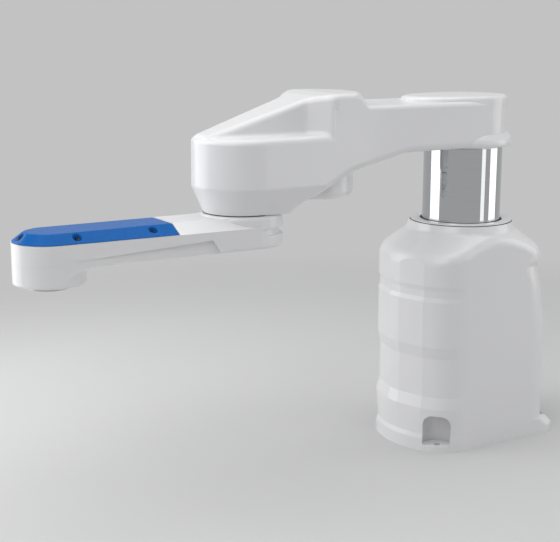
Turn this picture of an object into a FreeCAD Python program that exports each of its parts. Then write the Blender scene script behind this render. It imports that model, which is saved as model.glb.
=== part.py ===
import FreeCAD, Part
import math
import os

# SCARA robot with a lifting column, in millimetres.
# Origin: on the column's axis at the mounting face. +X along the straight arms, +Z up.

# Driving sizes of the arms and the column
upper_arm_length = 350.0
forearm_length = 250.0
lift_up = 55.0
lift_down = 95.0
column_radius = 53.5
column_wall = 7.5

# Clearances between pieces
sliding_gap = 0.05
running_gap = 0.3
seat_gap = 0.1

# Base housing
base_half_width = 84.3
base_front_radius = 111.7
base_corner_radius = 51.6
base_rear_reach = 112.0
base_rear_corner = 45.0
base_wall = 6.0
facet_near_angle = 5.5
facet_far_angle = 26.0
plinth_top_z = 17.0
plinth_step = 1.6
recess_low_z = 76.0
recess_high_z = 130.0
recess_depth = 3.6
recess_ramp = 16.0
groove_low_z = 214.0
groove_high_z = 223.0
groove_depth = 1.8
groove_ramp = 6.0
rear_lean_z = 100.0
rear_notch_z = 245.0
rear_notch_depth = 19.5
rear_lip_z = 252.0
rear_lip_depth = 11.5
shoulder_start_z = 222.0
shoulder_low_z = 252.0
shoulder_round = 26.0
shoulder_edge_round = 18.0
collar_top_z = 304.6
collar_radius = 69.4
collar_depth = 10.0
collar_seam = 0.3
bottom_plate_thickness = 14.0
bottom_bolt_radius = 4.5
front_bolt_x = 80.0
rear_bolt_x = -108.0
bolt_y = 62.0
pocket_radius = 19.0
pocket_floor_z = 9.0
pocket_top_z = 51.0
pocket_round = 14.0
lug_thickness = 11.0
lug_reach = 13.0
lug_corner = 30.0
lug_half_length = 44.0
lug_blend = 12.0
plate_ledge = 6.0
rear_panel_thickness = 3.0
rear_panel_half_width = 52.0
rear_panel_low_z = 26.0
rear_panel_high_z = 150.0

# Lift drive inside the base
guide_bush_height = 42.0
guide_bush_wall = 6.0
head_seat = 2.5
reducer_depth = 30.0
column_foot_z = 140.0
column_foot_thickness = 10.0
foot_spigot = 8.0
screw_radius = 10.0
screw_clearance = 4.0
nut_radius = 17.0
nut_length = 44.0
lift_belt_z = 27.0
belt_width = 8.0
lift_motor_side = 40.0
lift_motor_length = 80.0
lift_motor_clearance = 7.0
screw_pulley_radius = 24.0
lift_motor_pulley_radius = 12.0
rail_width = 15.0
rail_thickness = 9.0
rail_spare = 6.0
rail_block_length = 60.0
rail_block_drop = 16.0
post_thickness = 10.0
post_width = 44.0
post_clearance = 0.8

# Upper arm
arm_underside_z = 408.5
arm_shoulder_radius = 57.0
arm_hub_radius = 61.0
arm_top_z = 470.0
ledge_z = 436.5
plateau_z = 486.5
plateau_front_x = 264.0
nose_front_z = 438.3
nose_setback = 4.0
nose_round = 8.0
nose_half_width_rear = 33.0
nose_half_width_front = 20.0
housing_x = 245.0
plateau_x = 258.0
plateau_radius = 68.0
plateau_flank = 0.67
housing_front_x = 252.0
nose_root_x = 278.0
ledge_round = 8.0
belly_round = 10.0
deck_round = 6.0
root_round = 6.0
arm_wall = 5.0
hub_wall_low_z = 376.0
elbow_seam_z = 343.7
elbow_seam_radius = 47.4
shoulder_flange_radius = 65.0
shoulder_flange_height = 12.0
boss_radius = 51.0
boss_low_z = 356.0
cap_radius = 50.5
cap_foot_radius = 54.5
cap_tail_x = 44.0
cap_tail_radius = 36.0
cap_height = 6.0

# Shoulder and elbow drives
reducer_radius = 44.0
reducer_top_z = 423.0
shoulder_motor_radius = 31.0
arm_belt_z = 424.0
elbow_motor_radius = 30.0
elbow_motor_top_z = 473.0
elbow_brake_radius = 34.0
elbow_motor_pulley_radius = 14.0
elbow_pulley_radius = 30.0
elbow_reducer_radius = 34.0

elbow_deck_z = 413.0
belly_start_x = 138.0
belly_bend_x = 222.0
belly_bend_z = 389.0
shoulder_floor = 8.0
shoulder_shaft_radius = 7.0
hub_floor = 5.0
output_hub_radius = 30.0
output_hub_low_z = 333.0
cover_plate = 4.0

# Forearm
forearm_ring_radius = 51.4
forearm_waist_depth = 5.4
forearm_waist_low_z = 316.0
forearm_waist_high_z = 330.0
forearm_top_z = 341.0
forearm_rim_z = 330.0
forearm_under_z = 303.0
tip_radius = 41.8
tip_low_z = 281.0
tip_flare = 16.0
beam_round = 4.0
ring_round = 4.5
recess_taper = 5.5
recess_tip_x = 604.0
recess_tip_z = 309.5
recess_heel_x = 415.0
recess_heel_z = 320.6
recess_heel_lean = 11.0
neck_half_width = 25.0
neck_radius = 42.0
ridge_half_width = 27.0
ridge_end = 27.5
cover_rear_x = 457.0
cover_wall = 2.5
cover_screw_radius = 1.5
cover_screw_length = 11.0
notch_radius = 5.0
notch_floor_z = 333.0
forearm_wall = 4.0
cap_plate = 3.0
wrist_motor_x = 486.0
wrist_motor_radius = 19.0
wrist_belt_z = 330.0
wrist_belt_width = 6.0
wrist_motor_pulley_radius = 8.0
wrist_pulley_radius = 20.0

# Tool flange
flange_radius = 25.0
flange_low_z = 276.2
flange_thickness = 9.0
flange_bolt_circle = 40.0
flange_bolt_radius = 3.0
flange_bore_radius = 12.5
tool_shaft_radius = 15.0
bearing_radius = 24.0

elbow_x = upper_arm_length
wrist_x = upper_arm_length + forearm_length
facet_half_angle = (facet_far_angle - facet_near_angle) / 2
facet_cut = base_front_radius * (1 - math.cos(math.radians(facet_half_angle)))
front_relief = recess_depth + facet_cut
plate_nose = base_front_radius - front_relief - base_wall - plate_ledge
post_front_x = math.sqrt(plate_nose ** 2 - (post_width / 2) ** 2) - post_clearance
rail_x = post_front_x - post_thickness
carriage_low_z = column_foot_z - rail_block_drop
rail_low_z = carriage_low_z - lift_down - rail_spare
rail_high_z = carriage_low_z + rail_block_length + lift_up + rail_spare
lift_motor_x = lift_motor_side / 2 + lift_motor_clearance + base_wall - base_rear_reach
column_head_z = arm_underside_z - head_seat
reducer_low_z = column_head_z - reducer_depth
screw_high_z = reducer_low_z - lift_down - screw_clearance
neck_end_x = elbow_x + math.sqrt((forearm_ring_radius - 0.6 + neck_radius) ** 2
                                 - (neck_half_width + neck_radius) ** 2)
far = 200.0


def vector(x, y, z):
    return FreeCAD.Vector(x, y, z)


def cylinder(radius, low, high, x=0.0, y=0.0):
    return Part.makeCylinder(radius, high - low, vector(x, y, low))


def ring(outer, inner, low, high, x=0.0, y=0.0):
    return cylinder(outer, low, high, x, y).cut(cylinder(inner, low - 1, high + 1, x, y))


def block(x_low, x_high, y_low, y_high, low, high):
    corner = vector(x_low, y_low, low)
    return Part.makeBox(x_high - x_low, y_high - y_low, high - low, corner)


def fused(shapes):
    whole = shapes[0]
    for shape in shapes[1:]:
        whole = whole.fuse(shape)
    return whole.removeSplitter()


def flat(u, v):
    return vector(u, v, 0)


def upright(u, v):
    return vector(u, 0, v)


def outline(corners, place):
    """Closed wire through (u, v, radius) corners, each rounded by its own radius."""
    edges = []
    starts = []
    ends = []
    count = len(corners)
    for index in range(count):
        u, v, radius = corners[index]
        here = place(u, v)
        before = place(*corners[index - 1][:2]) - here
        after = place(*corners[(index + 1) % count][:2]) - here
        before.normalize()
        after.normalize()
        if radius == 0:
            starts.append(here)
            ends.append(here)
            continue
        half = before.getAngle(after) / 2
        middle = before + after
        middle.normalize()
        first = here + before * (radius / math.tan(half))
        last = here + after * (radius / math.tan(half))
        crown = here + middle * (radius / math.sin(half) - radius)
        edges.append(Part.Arc(first, crown, last).toShape())
        starts.append(first)
        ends.append(last)
    for index in range(count):
        edges.append(Part.makeLine(ends[index - 1], starts[index]))
    return Part.Wire(Part.__sortEdges__(edges))


def prism(corners, low, high):
    """Upright prism over a rounded outline in the XY plane."""
    face = Part.Face(outline(corners, flat))
    face.translate(vector(0, 0, low))
    return face.extrude(vector(0, 0, high - low))


def cross_prism(corners, half_width):
    """Prism along Y over a rounded outline in the XZ plane."""
    face = Part.Face(outline(corners, upright))
    face.translate(vector(0, -half_width, 0))
    return face.extrude(vector(0, 2 * half_width, 0))


def turned(corners, x=0.0, y=0.0):
    """Solid of revolution about an upright axis from (radius, height, rounding) corners."""
    face = Part.Face(outline(corners, upright))
    solid = face.revolve(vector(0, 0, 0), vector(0, 0, 1), 360)
    solid.translate(vector(x, y, 0))
    return solid


def eased(radius, z, size):
    """Corners for turned(): an edge at this radius and height taken off in three chords."""
    inward = abs(size)
    return [(radius - inward, z, 0), (radius - inward / 2, z + size * 0.134, 0),
            (radius - inward * 0.134, z + size / 2, 0), (radius, z + size, 0)]


def tangent_outline(x_near, r_near, x_far, r_far):
    """Outline of two circles on the X axis joined by their outer tangents."""
    lean = (r_near - r_far) / (x_far - x_near)
    rise = math.sqrt(1 - lean * lean)
    near = flat(x_near + r_near * lean, r_near * rise)
    far = flat(x_far + r_far * lean, r_far * rise)
    near_low = flat(near.x, -near.y)
    far_low = flat(far.x, -far.y)
    edges = [
        Part.makeLine(near, far),
        Part.Arc(far, flat(x_far + r_far, 0), far_low).toShape(),
        Part.makeLine(far_low, near_low),
        Part.Arc(near_low, flat(x_near - r_near, 0), near).toShape(),
    ]
    return Part.Wire(edges)


def side_width(x, x_near, r_near, x_far, r_far):
    """Half width at x of the outline of two circles and their outer tangents."""
    lean = (r_near - r_far) / (x_far - x_near)
    return (r_near - lean * (x - x_near)) / math.sqrt(1 - lean * lean)


def picked_edges(shape, wanted):
    """Edges whose bounding box meets a condition."""
    return [edge for edge in shape.Edges if wanted(edge.BoundBox)]


def capsule(x_near, r_near, x_far, r_far, low, high):
    face = Part.Face(tangent_outline(x_near, r_near, x_far, r_far))
    face.translate(vector(0, 0, low))
    return face.extrude(vector(0, 0, high - low))


def belt(x_near, r_near, x_far, r_far, middle, width):
    """Flat toothed belt round two pulleys, drawn plain and clear of both."""
    thickness = 1.5
    low = middle - width / 2
    high = middle + width / 2
    inside = capsule(x_near, r_near + running_gap, x_far, r_far + running_gap, low - 1, high + 1)
    near = r_near + running_gap + thickness
    far = r_far + running_gap + thickness
    return capsule(x_near, near, x_far, far, low, high).cut(inside)


def flanged_pulley(radius, middle, width, x, bore):
    """Pulley with two thin side flanges that keep the belt on."""
    flange = 1.5
    lip = 2.0
    low = middle - width / 2 - running_gap
    high = middle + width / 2 + running_gap
    body = cylinder(radius, low, high, x)
    lower = cylinder(radius + lip, low - flange, low, x)
    upper = cylinder(radius + lip, high, high + flange, x)
    return fused([body, lower, upper]).cut(cylinder(bore, low - 5, high + 5, x))


# Base

def on_circle(radius, degrees):
    angle = math.radians(degrees)
    return flat(radius * math.cos(angle), radius * math.sin(angle))


def opposite(point):
    return flat(point.x, -point.y)


def corner_arc(offset, nose):
    """Corner between nose and side: its start, crown and end, and the angle of its start."""
    width = base_half_width - offset
    corner = base_corner_radius - offset
    centre_y = width - corner
    centre_x = math.sqrt((nose - corner) ** 2 - centre_y ** 2)
    turn = math.degrees(math.atan2(centre_y, centre_x))
    crown = flat(centre_x, centre_y) + on_circle(corner, (turn + 90) / 2)
    return on_circle(nose, turn), crown, flat(centre_x, width), turn


def base_plan(offset, low, high, nose=base_front_radius, rear=base_rear_reach):
    """Plan of the base, inset by the offset: round nose, straight sides, rounded rear."""
    nose = nose - offset
    rear = rear - offset
    width = base_half_width - offset
    rear_corner = base_rear_corner - offset
    front, crown, side, _ = corner_arc(offset, nose)
    centre = flat(rear_corner - rear, width - rear_corner)
    rear_side = centre + on_circle(rear_corner, 90)
    rear_crown = centre + on_circle(rear_corner, 135)
    rear_end = centre + on_circle(rear_corner, 180)
    edges = [
        Part.Arc(opposite(front), flat(nose, 0), front).toShape(),
        Part.Arc(front, crown, side).toShape(),
        Part.makeLine(side, rear_side),
        Part.Arc(rear_side, rear_crown, rear_end).toShape(),
        Part.makeLine(rear_end, opposite(rear_end)),
        Part.Arc(opposite(rear_end), opposite(rear_crown), opposite(rear_side)).toShape(),
        Part.makeLine(opposite(rear_side), opposite(side)),
        Part.Arc(opposite(side), opposite(crown), opposite(front)).toShape(),
    ]
    face = Part.Face(Part.Wire(edges))
    face.translate(vector(0, 0, low))
    return face.extrude(vector(0, 0, high - low))


def front_section(depth, flats=True):
    """Plan of the front, drawn in by a depth: a round nose, with two flats cut or not."""
    nose = base_front_radius - depth
    front, crown, side, turn = corner_arc(0, nose)
    back = flat(-far, base_half_width)
    near = on_circle(nose, facet_near_angle)
    end = on_circle(nose, facet_far_angle)
    half = on_circle(nose, (facet_far_angle + turn) / 2)
    middle = on_circle(nose, (facet_near_angle + facet_far_angle) / 2)
    if flats:
        right, left = Part.makeLine(near, end), Part.makeLine(opposite(end), opposite(near))
    else:
        right = Part.Arc(near, middle, end).toShape()
        left = Part.Arc(opposite(end), opposite(middle), opposite(near)).toShape()
    return Part.Wire([
        Part.Arc(opposite(near), flat(nose, 0), near).toShape(),
        right,
        Part.Arc(end, half, front).toShape(),
        Part.Arc(front, crown, side).toShape(),
        Part.makeLine(side, back),
        Part.makeLine(back, opposite(back)),
        Part.makeLine(opposite(back), opposite(side)),
        Part.Arc(opposite(side), opposite(crown), opposite(front)).toShape(),
        Part.Arc(opposite(front), opposite(half), opposite(end)).toShape(),
        left,
    ])


def rear_section(depth, offset):
    """Plan of the rear, drawn in by a depth, with the base's rounded corners."""
    width = base_half_width - offset
    corner = base_rear_corner - offset
    rear = depth + offset - base_rear_reach
    return outline([(rear, -width, corner), (far, -width, 0), (far, width, 0),
                    (rear, width, corner)], flat)


def stacked(sections):
    """Ruled solid through plan sections, given as (height, wire) from the floor up."""
    parts = []
    for (low, below), (high, above) in zip(sections, sections[1:]):
        lower, upper = below.copy(), above.copy()
        lower.translate(vector(0, 0, low))
        upper.translate(vector(0, 0, high))
        parts.append(Part.makeLoft([lower, upper], True, True))
    return fused(parts)


def front_form():
    """Everything behind the front: plinth, skirt, long recess, middle pad, groove, brow."""
    round_depths = [
        (-1, 0),
        (plinth_top_z, 0),
        (plinth_top_z + 4 * plinth_step, plinth_step),
    ]
    depths = [
        (recess_low_z - recess_ramp, 0),
        (recess_low_z, recess_depth),
        (recess_high_z, recess_depth),
        (recess_high_z + recess_ramp, 0),
        (groove_low_z - groove_ramp, 0),
        (groove_low_z, groove_depth),
        (groove_high_z, groove_depth),
        (groove_high_z + groove_ramp, 0),
        (collar_top_z + 1, 0),
    ]
    return stacked([(z, front_section(depth, False)) for z, depth in round_depths]
                   + [(z, front_section(depth)) for z, depth in depths])


def rear_form(offset):
    """Everything ahead of the rear wall, which leans in more and more up to the notch."""
    rise = rear_notch_z - rear_lean_z
    shares = (0.0, 0.28, 0.5, 0.68, 0.84, 1.0)
    depths = [(rear_lean_z + rise * share, rear_notch_depth * share ** 2.3) for share in shares]
    return stacked([(z, rear_section(depth, offset)) for z, depth in [(-2, 0.0)] + depths])


def shoulder_dome(offset):
    """Turned upper form of the base: a cone between two roundings, under the collar."""
    nose = base_front_radius - offset
    top = collar_top_z - offset
    return turned([
        (0, -1, 0),
        (nose + 28, -1, 0),
        (nose + 28, shoulder_low_z - 20 - offset, 0),
        (nose + 1.1, shoulder_low_z - offset, 6),
        (nose - 2.4, shoulder_low_z + 16.5 - offset, shoulder_round),
        (collar_radius + 5.8, top - 11.0, 12),
        (collar_radius + 1.5, top, 0),
        (0, top, 0),
    ])


def foot_lug(side):
    """Rounded rear foot with its bolt hole, one each side, and a web up to the wall."""
    end = -base_rear_reach - lug_reach
    inner = side * (base_half_width - lug_half_length)
    outer = side * base_half_width
    corners = [(end, inner, 0), (end, outer, lug_corner), (rear_bolt_x + 40, outer, 0),
               (rear_bolt_x + 40, inner, 0)]
    foot = prism(corners, 0, lug_thickness)
    root = [(end + lug_reach, inner + side * lug_reach / 2, 0), (end + lug_reach, outer, lug_corner),
            (rear_bolt_x + 40, outer, 0), (rear_bolt_x + 40, inner + side * lug_reach / 2, 0)]
    low, high = outline(corners, flat), outline(root, flat)
    low.translate(vector(0, 0, lug_thickness))
    high.translate(vector(0, 0, lug_thickness + lug_blend))
    return foot.fuse(Part.makeLoft([low, high], True, True)).removeSplitter()


def pocket(side):
    """Arched notch in a front corner that lets a spanner reach the bolt."""
    angle = math.atan2(bolt_y, front_bolt_x) * side
    outward = 60.0
    ahead = cross_prism([
        (-pocket_radius, pocket_floor_z, 0),
        (pocket_radius, pocket_floor_z, 0),
        (pocket_radius, pocket_top_z, pocket_round),
        (-pocket_radius, pocket_top_z, pocket_round),
    ], outward)
    ahead.rotate(vector(0, 0, 0), vector(0, 0, 1), 90)
    ahead = ahead.common(block(0, outward, -far, far, 0, far))
    back = turned([
        (0, pocket_floor_z, 0),
        (pocket_radius, pocket_floor_z, 0),
        (pocket_radius, pocket_top_z, pocket_round),
        (0, pocket_top_z, 0),
    ])
    form = ahead.fuse(back)
    form.rotate(vector(0, 0, 0), vector(0, 0, 1), math.degrees(angle))
    form.translate(vector(front_bolt_x, side * bolt_y, 0))
    return form


def base_outside():
    """Outer form of the base: a rounded shoulder over the sculpted front and rear."""
    lip = base_rear_reach - rear_lip_depth
    shoulder = base_plan(0, shoulder_start_z, collar_top_z, rear=lip).common(shoulder_dome(0))
    shoulder = shoulder.removeSplitter()

    def on_rim(box):
        outer = max(abs(box.YMin), abs(box.YMax)) > 60 or box.XMax < 0
        return box.ZMin > shoulder_start_z and box.ZLength > 1 and outer

    shoulder = shoulder.makeFillet(shoulder_edge_round, picked_edges(shoulder, on_rim))
    lower = block(-far, far, -base_half_width, base_half_width, 0, shoulder_start_z)
    lip_form = stacked([(rear_notch_z, rear_section(rear_notch_depth, 0)),
                        (rear_lip_z, rear_section(rear_lip_depth, 0))])
    above = block(-far, far, -far, far, rear_lip_z, collar_top_z + 2)
    body = fused([lower, shoulder]).common(front_form())
    return fused([body.common(part) for part in (rear_form(0), lip_form, above)])


def base_cavity():
    """Room for the lift drive, with metal left round the pockets and the guide bush."""
    low = bottom_plate_thickness + seat_gap
    room = base_plan(base_wall, low, collar_top_z, base_front_radius - front_relief)
    above = block(base_wall + rear_notch_depth - base_rear_reach, far, -far, far,
                  rear_notch_z, collar_top_z + 2)
    room = room.common(shoulder_dome(base_wall + 2))
    room = fused([room.common(part) for part in (rear_form(base_wall), above)])
    bush_seat_z = collar_top_z - collar_depth - guide_bush_height
    room = room.cut(cylinder(column_radius + 22, bush_seat_z, collar_top_z))
    return room.cut(pocket_wall(1)).cut(pocket_wall(-1))


def base_housing():
    body = base_outside().cut(base_cavity())
    plate_room = base_plan(base_wall + plate_ledge, -1, bottom_plate_thickness + seat_gap,
                           base_front_radius - front_relief)
    for side in (1, -1):
        plate_room = plate_room.cut(pocket_wall(side))
        body = body.fuse(foot_lug(side))
    body = body.cut(plate_room)
    for side in (1, -1):
        body = body.cut(pocket(side))
        for bolt_x, high in ((front_bolt_x, pocket_floor_z), (rear_bolt_x, lug_thickness)):
            body = body.cut(cylinder(bottom_bolt_radius, -1, high + 1, bolt_x, side * bolt_y))
        spot = cylinder(2.2 * bottom_bolt_radius, lug_thickness, lug_thickness + lug_blend + 1,
                        rear_bolt_x, side * bolt_y)
        body = body.cut(spot)
    shaft_low = collar_top_z - collar_depth - guide_bush_height
    body = body.cut(cylinder(column_radius + guide_bush_wall, shaft_low - 5, collar_top_z + 1))
    body = body.cut(cylinder(collar_radius + collar_seam, collar_top_z - collar_depth,
                             collar_top_z + 1))
    window = block(-base_rear_reach - 1, -base_rear_reach + base_wall + 2,
                   10 - rear_panel_half_width, rear_panel_half_width - 10,
                   rear_panel_low_z + 10, rear_panel_high_z - 10)
    seat = block(-base_rear_reach - 1, -base_rear_reach + rear_panel_thickness,
                 -rear_panel_half_width - seat_gap, rear_panel_half_width + seat_gap,
                 rear_panel_low_z - seat_gap, rear_panel_high_z + seat_gap)
    return body.cut(window).cut(seat)


def pocket_wall(side, gap=0.0):
    """Solid metal kept round a front pocket."""
    return cylinder(pocket_radius + base_wall + gap, -2,
                    pocket_top_z + base_wall, front_bolt_x, side * bolt_y)


def bottom_plate():
    plate = base_plan(base_wall + plate_ledge + seat_gap, 0, bottom_plate_thickness,
                      base_front_radius - front_relief)
    return plate.cut(pocket_wall(1, seat_gap)).cut(pocket_wall(-1, seat_gap))


def rear_panel():
    panel = block(-base_rear_reach, -base_rear_reach + rear_panel_thickness - seat_gap,
                  -rear_panel_half_width, rear_panel_half_width,
                  rear_panel_low_z, rear_panel_high_z)
    for z in (rear_panel_low_z + 6, rear_panel_high_z - 6):
        for y in (-rear_panel_half_width + 6, rear_panel_half_width - 6):
            hole = Part.makeCylinder(2.2, 20, vector(-base_rear_reach - 5, y, z), vector(1, 0, 0))
            panel = panel.cut(hole)
    for y, z, radius in connector_places():
        hole = Part.makeCylinder(radius + seat_gap, 20,
                                 vector(-base_rear_reach - 5, y, z), vector(1, 0, 0))
        panel = panel.cut(hole)
    return panel


def connector_places():
    """Centres and body radii of the two round sockets and two air fittings."""
    z = rear_panel_high_z - 32
    return [(-20.0, z, 12.0), (20.0, z, 12.0), (-9.0, z - 32, 4.5), (9.0, z - 32, 4.5)]


def rear_panel_screws():
    screws = []
    for z in (rear_panel_low_z + 6, rear_panel_high_z - 6):
        for y in (-rear_panel_half_width + 6, rear_panel_half_width - 6):
            start = vector(-base_rear_reach - 2.4, y, z)
            head = Part.makeCylinder(3.6, 2.3, start, vector(1, 0, 0))
            shank = Part.makeCylinder(2.0, 4.5, start, vector(1, 0, 0))
            screws.append(head.fuse(shank).removeSplitter())
    return Part.makeCompound(screws)


def sockets(places):
    """Panel sockets: a flange outside the panel and a threaded barrel through it."""
    made = []
    for y, z, radius in places:
        x = -base_rear_reach
        flange = Part.makeCylinder(radius + 3, 1.8, vector(x - 1.9, y, z), vector(1, 0, 0))
        barrel = Part.makeCylinder(radius, 20, vector(x - 12, y, z), vector(1, 0, 0))
        hollow = Part.makeCylinder(radius - 2, 4, vector(x - 13, y, z), vector(1, 0, 0))
        made.append(flange.fuse(barrel).removeSplitter().cut(hollow))
    return Part.makeCompound(made)


def collar():
    top = collar_top_z
    low = top - collar_depth + seat_gap
    return turned([
        (column_radius + 1.0, low, 0),
        (collar_radius, low, 0),
        (collar_radius, top, 0),
        (column_radius + 1.0, top, 0),
    ])


def guide_bush():
    high = collar_top_z - collar_depth
    return ring(column_radius + guide_bush_wall - seat_gap, column_radius + sliding_gap,
                high - guide_bush_height, high)


def guide_post():
    """Post on the bottom plate that carries the rail, with a foot."""
    x_low = rail_x
    low = bottom_plate_thickness
    upright_part = block(x_low, x_low + post_thickness, -post_width / 2, post_width / 2,
                         low, rail_high_z)
    foot = block(x_low - 14, x_low + post_thickness, -post_width / 2, post_width / 2,
                 low, low + 8)
    return fused([upright_part, foot])


def lift_rail():
    low_x = rail_x - rail_thickness
    body = block(low_x, rail_x, -rail_width / 2, rail_width / 2, rail_low_z, rail_high_z)
    for side in (1, -1):
        groove = Part.makeCylinder(1.6, 400, vector(low_x + 5, side * rail_width / 2, 0))
        body = body.cut(groove)
    return body


def rail_block():
    """Ball carriage that runs on the rail, saddle shaped."""
    inner = rail_x - rail_thickness - running_gap
    low = carriage_low_z
    high = low + rail_block_length
    saddle = block(inner - 6, inner + 8, -17, 17, low, high)
    slot = block(inner, inner + 20, -rail_width / 2 - running_gap, rail_width / 2 + running_gap,
                 low - 1, high + 1)
    return saddle.cut(slot)


def column_foot():
    """Flange in the tube's lower end with an arm out to the rail carriage."""
    low = column_foot_z - column_foot_thickness
    plate = cylinder(column_radius, low, column_foot_z)
    spigot = cylinder(column_radius - column_wall - seat_gap, low, column_foot_z + foot_spigot)
    back_x = rail_x - rail_thickness - running_gap - 6
    tongue = block(0, back_x, -20, 20, low, column_foot_z)
    face_plate = block(back_x - 6, back_x, -17, 17, low - 6, low + 54)
    body = fused([plate, spigot, tongue, face_plate])
    body = body.cut(ring(column_radius + 0.5, column_radius - column_wall - seat_gap,
                         column_foot_z, low + 90))
    return body.cut(cylinder(nut_radius + seat_gap, low - 10, low + 60))


def ball_nut():
    low = column_foot_z - column_foot_thickness
    seat = column_foot_z + foot_spigot
    barrel = cylinder(nut_radius, low, low + nut_length)
    flange = cylinder(nut_radius + 9, seat, seat + 8)
    body = barrel.fuse(flange).removeSplitter()
    return body.cut(cylinder(screw_radius + sliding_gap, low - 20, low + 90))


def lift_column():
    low = column_foot_z
    return ring(column_radius, column_radius - column_wall, low, column_head_z)


def ball_screw():
    """Screw with its journal at the lower end, under the pulley."""
    thread = cylinder(screw_radius, lift_belt_z + 14, screw_high_z)
    journal = cylinder(7.0, bottom_plate_thickness + 1, lift_belt_z + 14)
    return fused([thread, journal])


def screw_bearing():
    low = bottom_plate_thickness
    return ring(20.0, 7.0 + sliding_gap, low, low + 7.0)


def screw_pulley():
    return flanged_pulley(screw_pulley_radius, lift_belt_z, belt_width, 0.0, 7.0 + sliding_gap)


def lift_motor():
    low = lift_belt_z + 10
    half = lift_motor_side / 2
    x = lift_motor_x
    body = block(x - half, x + half, -half, half, low + 6, low + lift_motor_length)
    return body.makeFillet(4, [edge for edge in body.Edges if edge.BoundBox.ZLength > 50])


def motor_bracket():
    """Plate under the lift motor on two legs."""
    x = lift_motor_x
    half = lift_motor_side / 2
    low = lift_belt_z + 10
    plate = block(x - half, x + half, -half - 10, half + 10, low, low + 6)
    legs = [block(x - half + 8, x + half, side * (half + 7) - 3, side * (half + 7) + 3,
                  bottom_plate_thickness, low) for side in (1, -1)]
    body = fused([plate] + legs)
    return body.cut(cylinder(8, low - 5, low + 10, x))


def lift_motor_pulley():
    x = lift_motor_x
    wheel = flanged_pulley(lift_motor_pulley_radius, lift_belt_z, belt_width, x, 4.0)
    shaft = cylinder(4.0, lift_belt_z - 6, lift_belt_z + 15, x)
    return fused([wheel, shaft])


def lift_belt():
    return belt(lift_motor_x, lift_motor_pulley_radius, 0.0, screw_pulley_radius,
                lift_belt_z, belt_width)


# Shoulder

def shoulder_reducer():
    """Stepped reducer body seated in the column's head."""
    seat = column_head_z
    inside = cylinder(column_radius - column_wall - seat_gap, reducer_low_z, seat)
    flange = cylinder(column_radius - 1.0, seat, seat + 6)
    output = cylinder(reducer_radius, seat + 6, reducer_top_z)
    bore = cylinder(9.0, reducer_low_z - 1, reducer_top_z + 1)
    return fused([inside, flange, output]).cut(bore)


def shoulder_motor():
    flange_z = reducer_top_z + running_gap + 8
    flange = cylinder(shoulder_motor_radius + 5, flange_z, flange_z + 6)
    body = cylinder(shoulder_motor_radius, flange_z, arm_top_z - arm_wall - 2)
    shaft = cylinder(7.0, arm_underside_z - 20, flange_z)
    return fused([flange, body, shaft])


def shoulder_cap():
    """Low round cap on the shoulder; its foot runs out towards the elbow like a drop."""
    foot = tangent_outline(0, cap_foot_radius, cap_tail_x, cap_tail_radius)
    crown = tangent_outline(0, cap_radius, 1.0, cap_radius - 0.4)
    foot.translate(vector(0, 0, arm_top_z))
    crown.translate(vector(0, 0, arm_top_z + cap_height))
    return Part.makeLoft([foot, crown], True, True)


# Upper arm

def arm_width(x, inset=0.0):
    """Half width of the upper arm at x."""
    return side_width(x, 0, arm_shoulder_radius - inset, elbow_x, arm_hub_radius - inset)


def arm_side_form(inset):
    """Side view of the arm's lower part: level underside, then a belly down to the elbow."""
    front = elbow_x + arm_hub_radius + 10
    return cross_prism([
        (-front, arm_underside_z + inset, 0),
        (belly_start_x, arm_underside_z + inset, 60),
        (belly_bend_x, belly_bend_z + inset, 40),
        (elbow_x - elbow_seam_radius, elbow_seam_z + 4 + inset, 10),
        (elbow_x - elbow_seam_radius, elbow_seam_z - 40 + inset, 0),
        (front, elbow_seam_z - 40 + inset, 0),
        (front, ledge_z - inset, 0),
        (-front, ledge_z - inset, 0),
    ], arm_hub_radius + 30)


def arm_plan_form(inset):
    """Upright sides above the hub's cone, and below them the sides drawn in like the cone."""
    shoulder = arm_shoulder_radius - inset
    hub = arm_hub_radius - inset
    seam = elbow_seam_radius - inset
    sides = capsule(0, shoulder, elbow_x, hub, hub_wall_low_z, ledge_z)
    wide = tangent_outline(0, shoulder, elbow_x, hub)
    narrow = tangent_outline(0, shoulder - hub + seam, elbow_x, seam)
    wide.translate(vector(0, 0, hub_wall_low_z))
    narrow.translate(vector(0, 0, elbow_seam_z))
    skirt = Part.makeLoft([narrow, wide], True, True)
    return sides.fuse(skirt)


def arm_deck_form(inset):
    """Level top of the arm, from the shoulder to where the nose begins."""
    low = arm_underside_z + 4 + inset
    high = arm_top_z - inset
    near = arm_shoulder_radius * (arm_shoulder_radius - arm_hub_radius) / elbow_x
    corners = [(x, side * arm_width(x, inset), 0)
               for x, side in ((housing_front_x, -1), (housing_front_x, 1), (near, 1), (near, -1))]
    return fused([prism(corners, low, high), cylinder(arm_shoulder_radius - inset, low, high)])


def motor_housing_form(inset):
    """Raised housing over the elbow motor: drafted round back, sloping nose, drawn-in sides."""
    low = arm_underside_z + 4 + inset
    high = plateau_z - inset
    front = elbow_x + arm_hub_radius - nose_setback - inset
    right = [
        (150 + inset, arm_width(150, inset), 0),
        (housing_front_x - inset, arm_width(housing_front_x, inset), 14),
        (nose_root_x - inset, nose_half_width_rear - inset, 12),
        (front, nose_half_width_front - inset, 0),
    ]
    left = [(x, -y, radius) for x, y, radius in reversed(right)]
    top = cross_prism([
        (100, low, 0),
        (front, low, 0),
        (front, nose_front_z - inset, nose_round),
        (plateau_front_x, high - 3, 24),
        (plateau_front_x - 20, high, 30),
        (100, high, 0),
    ], arm_hub_radius + 30)
    spread = (high - low) / plateau_flank
    back = Part.makeCone(plateau_radius - inset + spread * plateau_flank ** 2,
                         plateau_radius - inset, high - low, vector(plateau_x, 0, low))
    ahead = block(plateau_x, front + 1, -far, far, low, high)
    return prism(right + left, low, high + 1).common(top).common(back.fuse(ahead))


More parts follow.
